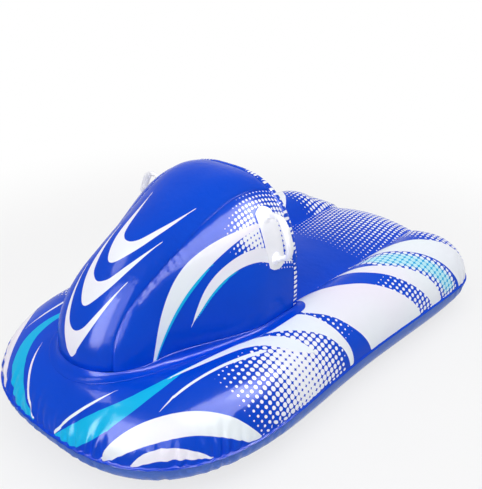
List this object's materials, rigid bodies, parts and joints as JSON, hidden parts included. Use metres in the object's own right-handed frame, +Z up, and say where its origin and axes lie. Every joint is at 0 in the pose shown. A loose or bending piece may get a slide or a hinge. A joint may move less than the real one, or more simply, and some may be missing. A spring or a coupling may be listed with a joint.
{
  "type": "inflatable snow sled",
  "caption": "Inflatable snow sled shaped like a snowmobile, with side tubes round a sunken seat, a printed cowl with moulded grips, and capped air valves.",
  "frame": {"origin": "on the ground, under the middle of the sled's bounding box", "axes": "-Y is the nose, +Y the tail, +X the rider's left, +Z up"},
  "size_m": [0.85, 1.51, 0.598],
  "materials": {
    "printed_vinyl": "gloss",
    "plain_vinyl": "gloss",
    "white_vinyl": "satin",
    "moulded_vinyl": "satin",
    "clear_vinyl": "gloss"
  },
  "bodies": {
    "sled": {"bottom_sheet": "plain_vinyl", "top_sheet": "printed_vinyl", "left_seat_web": "clear_vinyl", "right_seat_web": "clear_vinyl", "cowl_crown_panel": "printed_vinyl", "cowl_left_panel": "printed_vinyl", "cowl_right_panel": "printed_vinyl", "cowl_back_panel": "printed_vinyl", "cowl_skirt_band": "printed_vinyl", "left_handle_patch": "white_vinyl", "right_handle_patch": "white_vinyl", "base_valve_body": "clear_vinyl", "cowl_valve_body": "clear_vinyl"},
    "left_grip": {"left_grip": "moulded_vinyl"},
    "right_grip": {"right_grip": "moulded_vinyl"},
    "base_valve_cap": {"base_valve_cap": "clear_vinyl"},
    "cowl_valve_cap": {"cowl_valve_cap": "clear_vinyl"},
    "base_valve_flap": {"base_valve_flap": "clear_vinyl"},
    "cowl_valve_flap": {"cowl_valve_flap": "clear_vinyl"}
  },
  "joints": [
    {"name": "left_grip_flex", "type": "hinge", "parent": "sled", "child": "left_grip", "pos_m": [0.2203, -0.167, 0.46603], "axis": [-0.3312, 0, 0.9436], "range_deg": [-35, 35], "stiffness_Nm_per_rad": 0.3},
    {"name": "right_grip_flex", "type": "hinge", "parent": "sled", "child": "right_grip", "pos_m": [-0.2203, -0.167, 0.46603], "axis": [0.3312, 0, 0.9436], "range_deg": [-35, 35], "stiffness_Nm_per_rad": 0.3},
    {"name": "base_cap_tether", "type": "hinge", "parent": "sled", "child": "base_valve_cap", "pos_m": [-0.25015, 0.17, 0.2479], "axis": [0, 1, 0], "range_deg": [0, 150]},
    {"name": "cowl_cap_tether", "type": "hinge", "parent": "sled", "child": "cowl_valve_cap", "pos_m": [0, -0.02981, 0.4035], "axis": [1, 0, 0], "range_deg": [0, 150]},
    {"name": "base_flap_hinge", "type": "hinge", "parent": "sled", "child": "base_valve_flap", "pos_m": [-0.25425, 0.17, 0.2276], "axis": [0, -1, 0], "range_deg": [0, 60], "stiffness_Nm_per_rad": 0.001},
    {"name": "cowl_flap_hinge", "type": "hinge", "parent": "sled", "child": "cowl_valve_flap", "pos_m": [0, -0.05011, 0.3994], "axis": [-1, 0, 0], "range_deg": [0, 60], "stiffness_Nm_per_rad": 0.001}
  ]
}
